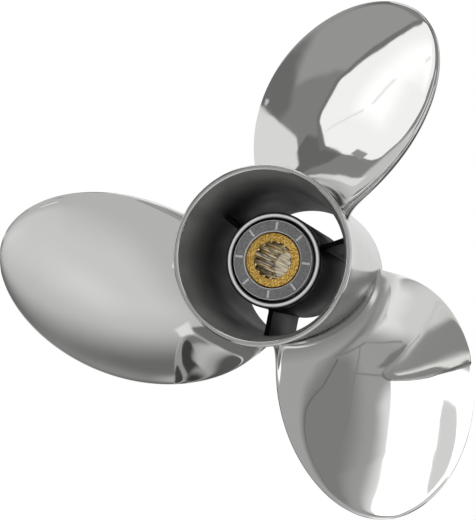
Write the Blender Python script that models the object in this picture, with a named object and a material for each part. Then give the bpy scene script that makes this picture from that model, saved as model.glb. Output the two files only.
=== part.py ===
"""A three-bladed boat propeller for a large outboard engine, with its exhaust led out through the hub.

The shaft axis is Z. The propeller stands on its front rim, the end that meets the gearcase, and its
aft end points up. Heights in the constants are measured upwards from the front rim, in metres.
It turns the left-hand way: from behind, a blade's trailing edge is on its clockwise side.
"""
import math

import bmesh
import bpy

# Whole propeller
BLADE_COUNT = 3
TIP_RADIUS = 0.1924
CENTRE_OF_MASS_HEIGHT = 0.080
SEAT_GAP = 0.0003

# Barrel: a tapered tube that flares at its aft rim, inside more than outside
BARREL_LENGTH = 0.158
BARREL_FRONT_RADIUS = 0.0540
BARREL_TAPER = 0.0036
RIM_FLARE = 0.0033
RIM_FLARE_LENGTH = 0.009
BORE_FRONT_RADIUS = 0.0488
BORE_TAPER = 0.0026
BORE_FLARE = 0.0058
BORE_FLARE_LENGTH = 0.014
RIM_ROUND = 0.0013
RING_DEPTHS = (RIM_ROUND, 0.004, 0.008, 0.014, 0.022, 0.034, 0.055)
BARREL_STEPS = 96
CORNER_STEPS = 3

# Inner hub: the tube that holds the bush
HUB_FRONT_HEIGHT = 0.017
HUB_AFT_HEIGHT = 0.1240
HUB_FRONT_RADIUS = 0.0320
HUB_AFT_RADIUS = 0.0330
HUB_BORE_RADIUS = 0.0289
HUB_EDGE_ROUND = 0.0018
HUB_STEPS = 64

# Ribs: flat plates from the inner hub to the barrel
RIB_THICKNESS = 0.0034
RIB_AFT_HEIGHT = 0.103
RIB_ANGLE = math.radians(18.5)
RIB_STATIONS = 6

# Blade outline: chord = (root + growth * span + bend * span^2) * sqrt(1 - span)
BLADE_ANGLE = math.radians(76.5)
BLADE_MID_HEIGHT = 0.0694
BLADE_PITCH = 0.473
SPAN_START_RADIUS = 0.058
SEAT_FADE = 4
CHORD_ROOT = 0.139
CHORD_GROWTH = 0.2115
CHORD_BEND = -0.075
SKEW_LINEAR = 0.0172
SKEW_SQUARE = 0.0417
AFT_RAKE = 0.0436

# Blade section: hollow aft face, a cup along the trailing edge, full forward face
CAMBER = 0.030
CUP_DEPTH = 0.0044
CUP_START_POWER = 4
CUP_END_POWER = 18
ROOT_THICKNESS = 0.0092
TIP_THICKNESS = 0.0034
THICKNESS_POWER = 1.2
LEADING_EDGE_THICKNESS = 0.0018
TRAILING_EDGE_THICKNESS = 0.0044
EDGE_POWER = 36
AFT_SHARE = 0.15
ROOT_FILLET = 0.016
FILLET_SHARE = 0.75
EDGE_FILLET_CUT = 0.8
SECTION_POINTS = 40
FILLET_ROWS = 6
SPAN_ROWS = 15
LAST_SPAN = 0.9985
ROOT_CAP_STEPS = 6

# Bush: a rubber ring bonded in the inner hub, with a moulded cap that carries eight short ridges
BUSH_OUTER_RADIUS = HUB_BORE_RADIUS - SEAT_GAP
BUSH_FRONT_HEIGHT = 0.030
CAP_OUTER_RADIUS = 0.0272
CAP_INNER_RADIUS = 0.0193
CAP_AFT_HEIGHT = 0.1255
CAP_THICKNESS = 0.008
CAP_CHAMFER = 0.0006
RIDGE_COUNT = 8
RIDGE_ANGLE = math.radians(37.5)
RIDGE_HALF_WIDTH = math.radians(1.6)
RIDGE_SLOPE = math.radians(0.9)
RIDGE_HEIGHT = 0.0008
RIDGE_INNER_RADIUS = 0.0206
RIDGE_OUTER_RADIUS = 0.0262
RIDGE_END_SLOPE = 0.0004
COLUMNS_BETWEEN_RIDGES = 4

# Spline sleeve: brass, with straight teeth for the shaft and a plain bore ahead of them
SLEEVE_OUTER_RADIUS = 0.0185
SLEEVE_FRONT_HEIGHT = 0.008
SLEEVE_AFT_HEIGHT = 0.1250
SPLINE_LENGTH = 0.054
TOOTH_COUNT = 15
TOOTH_TIP_RADIUS = 0.0116
TOOTH_ROOT_RADIUS = 0.0127
PLAIN_BORE_RADIUS = 0.0114
TOOTH_TIP_SHARE = 0.30
TOOTH_ROOT_SHARE = 0.42

# Finishes: colour, roughness and how metallic it is
POLISHED_STEEL = ((0.62, 0.61, 0.59), 0.12, 1.0)
CAST_STEEL = ((0.24, 0.24, 0.235), 0.45, 1.0)
GREY_MOULDING = ((0.17, 0.17, 0.18), 0.55, 0.0)
BLACK_RUBBER = ((0.02, 0.02, 0.02), 0.7, 0.0)
BRASS = ((0.62, 0.42, 0.13), 0.35, 1.0)

FULL_TURN = 2.0 * math.pi
SMOOTH_ANGLE = math.radians(35)


def clear_scene():
    """Remove whatever objects the file opened with."""
    for thing in list(bpy.data.objects):
        bpy.data.objects.remove(thing, do_unlink=True)


def metal(name, colour, roughness, metallic):
    """One Principled material with the part's colour and finish."""
    material = bpy.data.materials.new(name)
    material.use_nodes = True
    shader = material.node_tree.nodes["Principled BSDF"]
    shader.inputs["Base Color"].default_value = (*colour, 1.0)
    shader.inputs["Roughness"].default_value = roughness
    shader.inputs["Metallic"].default_value = metallic
    return material


def finish_mesh(bm, name, material):
    """Turn a bmesh into a mesh with outward faces, smooth round parts and its material."""
    bmesh.ops.recalc_face_normals(bm, faces=bm.faces)
    mesh = bpy.data.meshes.new(name)
    bm.to_mesh(mesh)
    bm.free()
    mesh.shade_smooth()
    mesh.set_sharp_from_angle(angle=SMOOTH_ANGLE)
    mesh.materials.append(material)
    return mesh


def place(name, mesh, parent, angle=0.0):
    """Add an object on the shaft axis, turned by an angle."""
    thing = bpy.data.objects.new(name, mesh)
    bpy.context.scene.collection.objects.link(thing)
    thing.parent = parent
    thing.rotation_euler = (0.0, 0.0, angle)
    return thing


def turned_mesh(name, profile, steps, material):
    """Turn a closed outline of (radius, height) points about the shaft axis."""
    bm = bmesh.new()
    verts = [bm.verts.new((radius, 0.0, height)) for radius, height in profile]
    edges = [bm.edges.new((verts[i - 1], verts[i])) for i in range(len(verts))]
    bmesh.ops.spin(bm, geom=verts + edges, cent=(0.0, 0.0, 0.0), axis=(0.0, 0.0, 1.0),
                   angle=FULL_TURN, steps=steps, use_merge=True, use_duplicate=False)
    return finish_mesh(bm, name, material)


def polar(radius, angle, height):
    """A point from its distance to the shaft axis, its angle and its height."""
    return (radius * math.cos(angle), radius * math.sin(angle), height)


def ring_mesh(name, rows, material):
    """Close a ring from rows of points, each row running once round the axis."""
    bm = bmesh.new()
    loops = [[bm.verts.new(point) for point in row] for row in rows]
    columns = len(rows[0])
    for i in range(len(loops)):
        for j in range(columns):
            bm.faces.new((loops[i - 1][j - 1], loops[i - 1][j], loops[i][j], loops[i][j - 1]))
    return finish_mesh(bm, name, material)


def barrel_radius(height):
    """Outer radius of the barrel at a height."""
    depth = BARREL_LENGTH - height
    flare = RIM_FLARE * math.exp(-depth / RIM_FLARE_LENGTH)
    return BARREL_FRONT_RADIUS + BARREL_TAPER * height / BARREL_LENGTH + flare


def bore_radius(height):
    """Inner radius of the barrel at a height."""
    depth = BARREL_LENGTH - height
    flare = BORE_FLARE * math.exp(-depth / BORE_FLARE_LENGTH)
    return BORE_FRONT_RADIUS + BORE_TAPER * height / BARREL_LENGTH + flare


def corner(radius, height, size, start, steps=CORNER_STEPS):
    """Points of a quarter round about (radius, height), from a start angle and clockwise."""
    points = []
    for i in range(steps + 1):
        turn = start - 0.5 * math.pi * i / steps
        points.append((radius + size * math.cos(turn), height + size * math.sin(turn)))
    return points


def barrel_profile():
    """Outline of the barrel's wall, with its rounded aft lip and eased front edges."""
    stations = [BARREL_LENGTH - depth for depth in RING_DEPTHS] + [RIM_ROUND]
    outer = [(barrel_radius(height), height) for height in stations]
    inner = [(bore_radius(height), height) for height in reversed(stations)]
    front = [(BARREL_FRONT_RADIUS - RIM_ROUND, 0.0), (BORE_FRONT_RADIUS + RIM_ROUND, 0.0)]
    lip_height = BARREL_LENGTH - RIM_ROUND
    lip = corner(bore_radius(lip_height) + RIM_ROUND, lip_height, RIM_ROUND, math.pi)[1:]
    lip += corner(barrel_radius(lip_height) - RIM_ROUND, lip_height, RIM_ROUND, 0.5 * math.pi)[:-1]
    return outer + front + inner + lip


def hub_profile():
    """Outline of the inner hub's wall, eased in front and well rounded at its aft end."""
    ease = HUB_EDGE_ROUND
    outline = [
        (HUB_BORE_RADIUS, HUB_FRONT_HEIGHT),
        (HUB_FRONT_RADIUS - ease, HUB_FRONT_HEIGHT),
        (HUB_FRONT_RADIUS, HUB_FRONT_HEIGHT + ease),
    ]
    aft_round = corner(HUB_AFT_RADIUS - ease, HUB_AFT_HEIGHT - ease, ease, 0.5 * math.pi)
    return outline + aft_round[::-1] + [(HUB_BORE_RADIUS, HUB_AFT_HEIGHT)]


def hub_radius(height):
    """Outer radius of the inner hub at a height."""
    share = (height - HUB_FRONT_HEIGHT) / (HUB_AFT_HEIGHT - HUB_FRONT_HEIGHT)
    return HUB_FRONT_RADIUS + (HUB_AFT_RADIUS - HUB_FRONT_RADIUS) * share


def rib_mesh(material):
    """A flat plate along +X, its ends following the inner hub and the barrel's bore."""
    bm = bmesh.new()
    heights = [HUB_FRONT_HEIGHT + HUB_EDGE_ROUND
               + (RIB_AFT_HEIGHT - HUB_FRONT_HEIGHT - HUB_EDGE_ROUND) * i / (RIB_STATIONS - 1)
               for i in range(RIB_STATIONS)]
    inner = [(hub_radius(height) + SEAT_GAP, height) for height in heights]
    outer = [(bore_radius(height) - SEAT_GAP, height) for height in reversed(heights)]
    half = RIB_THICKNESS / 2.0
    outline = [bm.verts.new((radius, -half, height)) for radius, height in inner + outer]
    face = bm.faces.new(outline)
    side = bmesh.ops.extrude_face_region(bm, geom=[face])
    moved = [item for item in side["geom"] if isinstance(item, bmesh.types.BMVert)]
    bmesh.ops.translate(bm, verts=moved, vec=(0.0, RIB_THICKNESS, 0.0))
    return finish_mesh(bm, "rib", material)


def pitch_angle(radius):
    """Angle of the blade's helix to the plane of rotation."""
    return math.atan(BLADE_PITCH / (FULL_TURN * radius))


def chord(span):
    """Length of the blade section, from leading to trailing edge."""
    grown = CHORD_ROOT + CHORD_GROWTH * span + CHORD_BEND * span * span
    return grown * math.sqrt(1.0 - span)


def camber_line(span, place_on_chord):
    """Offset of the middle of the aft face: hollow, with a cup that curls back at the trailing edge."""
    hollow = 4.0 * CAMBER * chord(span) * place_on_chord * (1.0 - place_on_chord)
    fade = min(1.0, chord(span) / CHORD_ROOT)
    cup = fade * CUP_DEPTH * place_on_chord ** CUP_START_POWER * (1.0 - place_on_chord ** CUP_END_POWER)
    return -(hollow + cup)


def thickness(span, across):
    """Thickness of the blade; across runs from -1 at the leading edge to 1 at the trailing edge."""
    full = TIP_THICKNESS + (ROOT_THICKNESS - TIP_THICKNESS) * (1.0 - span) ** THICKNESS_POWER
    share = (across + 1.0) / 2.0
    edge = LEADING_EDGE_THICKNESS + (TRAILING_EDGE_THICKNESS - LEADING_EDGE_THICKNESS) * share
    edge = min(edge, full)
    return (full - edge) * (1.0 - across * across) + edge * math.sqrt(1.0 - across ** EDGE_POWER)


def section(span, fillet):
    """Closed outline of a blade section as (along, off) pairs, widened by the root fillet."""
    points = []
    for i in range(SECTION_POINTS):
        turn = FULL_TURN * (i + 0.5) / SECTION_POINTS
        across = math.cos(turn)
        side = AFT_SHARE if math.sin(turn) > 0.0 else AFT_SHARE - 1.0
        along = chord(span) * across / 2.0
        off = camber_line(span, (across + 1.0) / 2.0) + side * thickness(span, across)
        points.append((along, off))
    widened = []
    for i in range(SECTION_POINTS):
        before = points[i - 1]
        after = points[(i + 1) % SECTION_POINTS]
        step_along = after[0] - before[0]
        step_off = after[1] - before[1]
        length = math.hypot(step_along, step_off)
        width = fillet * (1.0 - EDGE_FILLET_CUT * (2.0 * points[i][0] / chord(span)) ** 4)
        widened.append((points[i][0] + width * step_off / length,
                        points[i][1] - width * step_along / length))
    return widened


def blade_point(span, along, off):
    """Put a point of a section on its cylinder, wrapped along the left-hand helix.

    The barrel tapers along the root, so the cylinders near it follow the barrel's own surface."""
    nominal = SPAN_START_RADIUS + span * (TIP_RADIUS - SPAN_START_RADIUS)
    pitch = pitch_angle(nominal)
    reach = SKEW_LINEAR * span + SKEW_SQUARE * span * span + along
    height = BLADE_MID_HEIGHT + AFT_RAKE * span + reach * math.sin(pitch) + off * math.cos(pitch)
    seat = barrel_radius(height) + SEAT_GAP - SPAN_START_RADIUS
    radius = nominal + seat * (1.0 - span) ** SEAT_FADE
    around = (off * math.sin(pitch) - reach * math.cos(pitch)) / radius
    return polar(radius, around, height)


def section_row(span, fillet):
    """A section as points in space."""
    return [blade_point(span, along, off) for along, off in section(span, fillet)]


def fillet_rows():
    """Rows of points up the root fillet, a quarter round between barrel and blade."""
    rows = []
    for i in range(FILLET_ROWS):
        turn = 0.5 * math.pi * i / FILLET_ROWS
        rise = ROOT_FILLET * (1.0 - math.cos(turn))
        stands_out = FILLET_SHARE * ROOT_FILLET * (1.0 - math.sin(turn))
        rows.append(section_row(rise / (TIP_RADIUS - SPAN_START_RADIUS), stands_out))
    return rows


def span_rows():
    """Rows of points from the top of the fillet to the tip, closer together towards the tip."""
    first = ROOT_FILLET / (TIP_RADIUS - SPAN_START_RADIUS)
    rows = []
    for i in range(SPAN_ROWS):
        share = math.sin(0.5 * math.pi * i / (SPAN_ROWS - 1))
        rows.append(section_row(first + (LAST_SPAN - first) * share, 0.0))
    return rows


def root_cap_lines():
    """Lines of points under the root, from the aft face to the forward face, on the barrel's surface."""
    outline = section(0.0, FILLET_SHARE * ROOT_FILLET)
    lines = []
    for i in range(SECTION_POINTS // 2):
        aft = outline[i]
        forward = outline[SECTION_POINTS - 1 - i]
        line = []
        for j in range(1, ROOT_CAP_STEPS):
            share = j / ROOT_CAP_STEPS
            along = aft[0] + (forward[0] - aft[0]) * share
            off = aft[1] + (forward[1] - aft[1]) * share
            line.append(blade_point(0.0, along, off))
        lines.append(line)
    return lines


def blade_mesh(material):
    """One blade: rows of points bridged from root to tip, closed under the root and at the tip."""
    bm = bmesh.new()
    rows = [[bm.verts.new(point) for point in row] for row in fillet_rows() + span_rows()]
    for lower, upper in zip(rows, rows[1:]):
        for j in range(SECTION_POINTS):
            bm.faces.new((lower[j - 1], lower[j], upper[j], upper[j - 1]))
    half = SECTION_POINTS // 2
    root = rows[0]
    strips = []
    for i, line in enumerate(root_cap_lines()):
        middle = [bm.verts.new(point) for point in line]
        strips.append([root[i]] + middle + [root[SECTION_POINTS - 1 - i]])
    for left, right in zip(strips, strips[1:]):
        for j in range(ROOT_CAP_STEPS):
            bm.faces.new((left[j], left[j + 1], right[j + 1], right[j]))
    bm.faces.new(strips[0])
    bm.faces.new(strips[-1])
    tip = rows[-1]
    for i in range(half - 1):
        bm.faces.new((tip[i], tip[i + 1], tip[SECTION_POINTS - 2 - i], tip[SECTION_POINTS - 1 - i]))
    return finish_mesh(bm, "blade", material)


def rubber_profile():
    """Outline of the rubber ring between the inner hub and the sleeve."""
    inner = SLEEVE_OUTER_RADIUS + SEAT_GAP
    aft = CAP_AFT_HEIGHT - CAP_THICKNESS - SEAT_GAP
    return [(inner, BUSH_FRONT_HEIGHT), (BUSH_OUTER_RADIUS, BUSH_FRONT_HEIGHT),
            (BUSH_OUTER_RADIUS, aft), (inner, aft)]


def ridge_columns():
    """Angles round the cap with a flag that is set on top of a ridge."""
    columns = []
    pitch = FULL_TURN / RIDGE_COUNT
    foot = RIDGE_HALF_WIDTH + RIDGE_SLOPE
    for i in range(RIDGE_COUNT):
        middle = RIDGE_ANGLE + pitch * i
        columns.append((middle - foot, False))
        columns.append((middle - RIDGE_HALF_WIDTH, True))
        columns.append((middle + RIDGE_HALF_WIDTH, True))
        columns.append((middle + foot, False))
        for j in range(COLUMNS_BETWEEN_RIDGES):
            share = (j + 1) / (COLUMNS_BETWEEN_RIDGES + 1)
            columns.append((middle + foot + (pitch - 2.0 * foot) * share, False))
    return columns


def cap_rows():
    """Rows of the moulded cap, from its front face out and over its aft face."""
    front = CAP_AFT_HEIGHT - CAP_THICKNESS
    outline = [
        (CAP_INNER_RADIUS, front, False),
        (CAP_OUTER_RADIUS, front, False),
        (CAP_OUTER_RADIUS, CAP_AFT_HEIGHT - CAP_CHAMFER, False),
        (CAP_OUTER_RADIUS - CAP_CHAMFER, CAP_AFT_HEIGHT, False),
        (RIDGE_OUTER_RADIUS, CAP_AFT_HEIGHT, False),
        (RIDGE_OUTER_RADIUS - RIDGE_END_SLOPE, CAP_AFT_HEIGHT, True),
        (RIDGE_INNER_RADIUS + RIDGE_END_SLOPE, CAP_AFT_HEIGHT, True),
        (RIDGE_INNER_RADIUS, CAP_AFT_HEIGHT, False),
        (CAP_INNER_RADIUS + CAP_CHAMFER, CAP_AFT_HEIGHT, False),
        (CAP_INNER_RADIUS, CAP_AFT_HEIGHT - CAP_CHAMFER, False),
    ]
    rows = []
    for radius, height, on_ridge in outline:
        row = []
        for angle, on_top in ridge_columns():
            lift = RIDGE_HEIGHT if on_ridge and on_top else 0.0
            row.append(polar(radius, angle, height + lift))
        rows.append(row)
    return rows


def tooth_columns():
    """Angles round the bore with the radius of the splines there."""
    columns = []
    pitch = FULL_TURN / TOOTH_COUNT
    for i in range(TOOTH_COUNT):
        middle = pitch * i
        tip = 0.5 * TOOTH_TIP_SHARE * pitch
        root = 0.5 * TOOTH_ROOT_SHARE * pitch
        columns.append((middle - tip, TOOTH_TIP_RADIUS))
        columns.append((middle + tip, TOOTH_TIP_RADIUS))
        columns.append((middle + 0.5 * pitch - root, TOOTH_ROOT_RADIUS))
        columns.append((middle + 0.5 * pitch + root, TOOTH_ROOT_RADIUS))
    return columns


def sleeve_rows():
    """Rows of the sleeve: up its outside, then down through the splines and the plain bore."""
    spline_end = SLEEVE_AFT_HEIGHT - SPLINE_LENGTH
    columns = tooth_columns()
    outside = [(SLEEVE_OUTER_RADIUS, SLEEVE_FRONT_HEIGHT), (SLEEVE_OUTER_RADIUS, SLEEVE_AFT_HEIGHT)]
    plain = [(PLAIN_BORE_RADIUS, spline_end), (PLAIN_BORE_RADIUS, SLEEVE_FRONT_HEIGHT)]
    rows = [[polar(radius, angle, height) for angle, _ in columns] for radius, height in outside]
    rows += [[polar(radius, angle, height) for angle, radius in columns]
             for height in (SLEEVE_AFT_HEIGHT, spline_end)]
    rows += [[polar(radius, angle, height) for angle, _ in columns] for radius, height in plain]
    return rows


def main():
    """Build every piece of the propeller on one shaft axis."""
    clear_scene()
    axis = bpy.data.objects.new("shaft_axis", None)
    bpy.context.scene.collection.objects.link(axis)
    axis.location = (0.0, 0.0, -CENTRE_OF_MASS_HEIGHT)

    polished = metal("polished_steel", *POLISHED_STEEL)
    cast = metal("cast_steel", *CAST_STEEL)
    moulding = metal("grey_moulding", *GREY_MOULDING)
    rubber = metal("black_rubber", *BLACK_RUBBER)
    brass = metal("brass", *BRASS)

    place("barrel", turned_mesh("barrel", barrel_profile(), BARREL_STEPS, polished), axis)
    place("inner_hub", turned_mesh("inner_hub", hub_profile(), HUB_STEPS, cast), axis)
    rib = rib_mesh(cast)
    blade = blade_mesh(polished)
    for i in range(BLADE_COUNT):
        turn = FULL_TURN * i / BLADE_COUNT
        place(f"rib_{i + 1}", rib, axis, RIB_ANGLE + turn)
        place(f"blade_{i + 1}", blade, axis, BLADE_ANGLE + turn)
    place("rubber_bush", turned_mesh("rubber_bush", rubber_profile(), HUB_STEPS, rubber), axis)
    place("bush_cap", ring_mesh("bush_cap", cap_rows(), moulding), axis)
    place("spline_sleeve", ring_mesh("spline_sleeve", sleeve_rows(), brass), axis)


main()
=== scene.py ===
# %% [markdown]
# # A three-bladed boat propeller
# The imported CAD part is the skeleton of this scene: plain solids that a physics program can use.
# This script dresses them for a photograph. Each piece is rebuilt with finer edges and fillets in
# the same place, gets the finish of the real metal, rubber or moulding, and stands on a pale floor
# in soft studio light. The propeller stands on its front rim, so its aft end points up at the camera.

import math

import bmesh
import bpy
from mathutils import Matrix, Vector


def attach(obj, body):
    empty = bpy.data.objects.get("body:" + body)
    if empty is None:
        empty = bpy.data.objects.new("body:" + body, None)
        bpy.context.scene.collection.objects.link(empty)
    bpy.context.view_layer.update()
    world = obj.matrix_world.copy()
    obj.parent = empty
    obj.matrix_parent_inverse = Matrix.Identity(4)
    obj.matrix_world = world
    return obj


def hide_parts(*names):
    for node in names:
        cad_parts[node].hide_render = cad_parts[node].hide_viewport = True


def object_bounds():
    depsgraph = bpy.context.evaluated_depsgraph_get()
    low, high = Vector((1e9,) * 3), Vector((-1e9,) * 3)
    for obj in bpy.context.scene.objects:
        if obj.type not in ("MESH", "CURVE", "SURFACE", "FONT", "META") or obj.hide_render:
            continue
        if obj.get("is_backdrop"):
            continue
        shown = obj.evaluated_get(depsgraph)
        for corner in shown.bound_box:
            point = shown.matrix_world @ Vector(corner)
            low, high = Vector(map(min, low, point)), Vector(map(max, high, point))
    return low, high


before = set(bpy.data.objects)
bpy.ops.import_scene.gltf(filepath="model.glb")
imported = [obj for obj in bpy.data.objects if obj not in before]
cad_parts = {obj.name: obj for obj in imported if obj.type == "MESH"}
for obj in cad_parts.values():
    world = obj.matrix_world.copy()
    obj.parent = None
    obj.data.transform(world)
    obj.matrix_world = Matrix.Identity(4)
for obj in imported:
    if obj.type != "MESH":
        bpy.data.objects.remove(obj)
packed_low, packed_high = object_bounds()
print("packed pieces:", ", ".join(sorted(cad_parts)))

# %% [markdown]
# ## Sizes
# A propeller is described by a few numbers: its diameter, its pitch (how far one turn would carry it
# through the water), the rake that leans the blades aft and the skew that sweeps them round. The same
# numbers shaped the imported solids, so the fine pieces land exactly where the solids are. Heights are
# measured up from the front rim, and one last shift puts the origin at the centre of mass.

# %% Sizes of the whole propeller, in metres
BLADE_COUNT = 3
TIP_RADIUS = 0.1924
CENTRE_OF_MASS_HEIGHT = 0.080
FULL_TURN = 2.0 * math.pi
QUARTER_TURN = 0.5 * math.pi

BARREL_LENGTH = 0.158
BARREL_FRONT_RADIUS = 0.0540
BARREL_TAPER = 0.0036
RIM_FLARE = 0.0033
RIM_FLARE_LENGTH = 0.009
BORE_FRONT_RADIUS = 0.0488
BORE_TAPER = 0.0026
BORE_FLARE = 0.0058
BORE_FLARE_LENGTH = 0.014
print("diameter", round(2000 * TIP_RADIUS), "mm, barrel", round(1000 * BARREL_LENGTH), "mm long")

# %% [markdown]
# ## Numbers that vary over a mesh
# In Geometry Nodes a sum such as `radius * cos(angle)` takes one Math node for each operation. Wiring
# a hundred of them by hand hides the formula. This small class wraps a socket, and ordinary Python
# arithmetic on it adds the nodes, so the blade's rule can be read as the formula that it is.

# %% Arithmetic that builds Math nodes
class Field:
    """A number that varies over a mesh or a surface; arithmetic on it adds Math nodes to its tree."""

    def __init__(self, tree, socket):
        self.tree = tree
        self.socket = socket

    def math(self, operation, *others):
        """One Math node with this number as its first input."""
        node = self.tree.nodes.new("ShaderNodeMath")
        node.operation = operation
        for place, value in enumerate((self, *others)):
            if isinstance(value, Field):
                self.tree.links.new(value.socket, node.inputs[place])
            else:
                node.inputs[place].default_value = value
        return Field(self.tree, node.outputs[0])

    def __add__(self, other):
        return self.math("ADD", other)

    def __sub__(self, other):
        return self.math("SUBTRACT", other)

    def __mul__(self, other):
        return self.math("MULTIPLY", other)

    def __truediv__(self, other):
        return self.math("DIVIDE", other)

    def __pow__(self, other):
        return self.math("POWER", other)

    def __rsub__(self, other):
        return self * -1.0 + other

    def __neg__(self):
        return self * -1.0

    __radd__ = __add__
    __rmul__ = __mul__

    def cos(self):
        return self.math("COSINE")

    def sin(self):
        return self.math("SINE")

    def sqrt(self):
        return self.math("SQRT")

    def at_least(self, low):
        return self.math("MAXIMUM", low)

    def at_most(self, high):
        return self.math("MINIMUM", high)

    def share(self, start, length):
        """0 before start, 1 after start + length, and straight in between."""
        return ((self - start) / length).at_least(0.0).at_most(1.0)


print("formulas can be written as plain sums")

# %% [markdown]
# ## A sheet that is bent by a rule
# Every fine piece that follows a rule starts as a flat grid. Its columns run round the piece and its
# rows run along it, and Set Position bends it into place. The first and last columns meet, so Merge by
# Distance sews them up. The tree has a named input for each size, and it ends in Realize Instances and
# Set Material, so that the result is one plain mesh with its finish.

# %% Trees that bend a grid, and the meshes they make
MERGE_DISTANCE = 1e-6
SHARP_ANGLE = math.radians(40)


def add_node(tree, kind, **links):
    """Add a node and feed its named inputs from sockets, fields or plain values."""
    node = tree.nodes.new(kind)
    for name, value in links.items():
        socket = node.inputs[name.replace("_", " ")]
        if isinstance(value, Field):
            tree.links.new(value.socket, socket)
        elif isinstance(value, bpy.types.NodeSocket):
            tree.links.new(value, socket)
        else:
            socket.default_value = value
    return node


def grid_tree(name, sizes, columns, rows, rule):
    """A tree that bends a grid of columns x rows by a rule of (sizes, round, row)."""
    tree = bpy.data.node_groups.new(name, "GeometryNodeTree")
    face = tree.interface
    face.new_socket("Geometry", in_out="OUTPUT", socket_type="NodeSocketGeometry")
    for size, value in sizes.items():
        socket = face.new_socket(size, in_out="INPUT", socket_type="NodeSocketFloat")
        socket.default_value = value
    face.new_socket("Finish", in_out="INPUT", socket_type="NodeSocketMaterial")
    inputs = tree.nodes.new("NodeGroupInput")
    fields = {size: Field(tree, inputs.outputs[size]) for size in sizes}

    grid = tree.nodes.new("GeometryNodeMeshGrid")
    grid.inputs["Vertices X"].default_value = columns + 1
    grid.inputs["Vertices Y"].default_value = rows
    place = tree.nodes.new("ShaderNodeSeparateXYZ")
    tree.links.new(tree.nodes.new("GeometryNodeInputPosition").outputs[0], place.inputs[0])
    around = Field(tree, place.outputs[0]) + 0.5
    row = ((Field(tree, place.outputs[1]) + 0.5) * (rows - 1)).math("ROUND")

    x, y, z = rule(fields, around, row)
    point = tree.nodes.new("ShaderNodeCombineXYZ")
    for axis, value in enumerate((x, y, z)):
        tree.links.new(value.socket, point.inputs[axis])
    bent = add_node(tree, "GeometryNodeSetPosition", Geometry=grid.outputs["Mesh"],
                    Position=point.outputs[0])
    sewn = add_node(tree, "GeometryNodeMergeByDistance", Geometry=bent.outputs[0],
                    Distance=MERGE_DISTANCE)
    plain = add_node(tree, "GeometryNodeRealizeInstances", Geometry=sewn.outputs[0])
    dressed = add_node(tree, "GeometryNodeSetMaterial", Geometry=plain.outputs[0],
                       Material=inputs.outputs["Finish"])
    tree.links.new(dressed.outputs[0], tree.nodes.new("NodeGroupOutput").inputs[0])
    return tree


def smooth_outward(mesh):
    """Merge doubles, point every face outwards and shade smoothly up to the sharp angle."""
    bm = bmesh.new()
    bm.from_mesh(mesh)
    bmesh.ops.remove_doubles(bm, verts=bm.verts, dist=MERGE_DISTANCE)
    bmesh.ops.dissolve_degenerate(bm, edges=bm.edges, dist=MERGE_DISTANCE)
    bmesh.ops.recalc_face_normals(bm, faces=bm.faces)
    bm.to_mesh(mesh)
    bm.free()
    mesh.shade_smooth()
    mesh.set_sharp_from_angle(angle=SHARP_ANGLE)


def mesh_from_tree(name, tree, values, material):
    """Run a tree with its inputs set, and keep the result as a plain mesh."""
    source = bpy.data.objects.new(name + "_source", bpy.data.meshes.new(name + "_source"))
    bpy.context.scene.collection.objects.link(source)
    modifier = source.modifiers.new("rule", "NODES")
    modifier.node_group = tree
    for item in tree.interface.items_tree:
        if item.item_type == "SOCKET" and item.in_out == "INPUT":
            modifier[item.identifier] = material if item.name == "Finish" else values[item.name]
    view = bpy.context.evaluated_depsgraph_get()
    mesh = bpy.data.meshes.new_from_object(source.evaluated_get(view))
    source.modifiers.remove(modifier)
    bpy.data.objects.remove(source)
    mesh.name = name
    smooth_outward(mesh)
    return mesh


def seat_piece(name, mesh, slot, *nodes):
    """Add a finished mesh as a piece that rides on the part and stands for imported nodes."""
    piece = bpy.data.objects.new(name, mesh)
    bpy.context.scene.collection.objects.link(piece)
    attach(piece, "root")
    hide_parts(*nodes)
    print(name, "has", len(mesh.polygons), "faces")


print("meshes are sewn at", MERGE_DISTANCE, "m and sharp past", round(math.degrees(SHARP_ANGLE)), "degrees")

# %% [markdown]
# ## Blade sections and their helix
# A blade is a stack of sections. Each one lies on a cylinder round the shaft and climbs along a
# helix, so that a full turn would rise by the pitch. The rule below bends a flat grid into that
# stack: across the grid runs the outline of a section, along it the span. Rake, skew and chord are
# short formulas of the span. The cup, a small curl at the trailing edge that grips the water, and the
# fillet at the barrel are terms of the same rule, so nothing has to be blended in afterwards.

# %% The blade's rule
BLADE_SIZES = {
    "Turn": 0.0,
    "Pitch": 0.473,
    "Mid height": 0.0694,
    "Rake": 0.0436,
    "Skew": 0.0172,
    "Skew growth": 0.0417,
    "Root chord": 0.139,
    "Chord growth": 0.2115,
    "Chord bend": -0.075,
    "Hollow": 0.030,
    "Cup": 0.0044,
    "Root thickness": 0.0092,
    "Tip thickness": 0.0034,
    "Leading edge": 0.0018,
    "Trailing edge": 0.0044,
    "Root fillet": 0.016,
}
SPAN_START_RADIUS = 0.058
SEAT_FADE = 4
CUP_START_POWER = 4
CUP_END_POWER = 18
THICKNESS_POWER = 1.2
EDGE_POWER = 36
AFT_SHARE = 0.15
FILLET_SHARE = 0.75
EDGE_FILLET_CUT = 0.8
LAST_SPAN = 0.9985
ROOT_SINK = 0.00001
CAP_DEPTH = 0.001
EDGE_LIMIT = 0.9999
TINY = 1e-7
SECTION_COLUMNS = 128
CAP_ROWS = 5
FILLET_ROWS = 12
SPAN_ROWS = 90
TIP_ROWS = 6


def barrel_radius_field(height):
    """Outer radius of the barrel at a height."""
    flare = ((height - BARREL_LENGTH) / RIM_FLARE_LENGTH).math("EXPONENT") * RIM_FLARE
    return height * (BARREL_TAPER / BARREL_LENGTH) + BARREL_FRONT_RADIUS + flare


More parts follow.
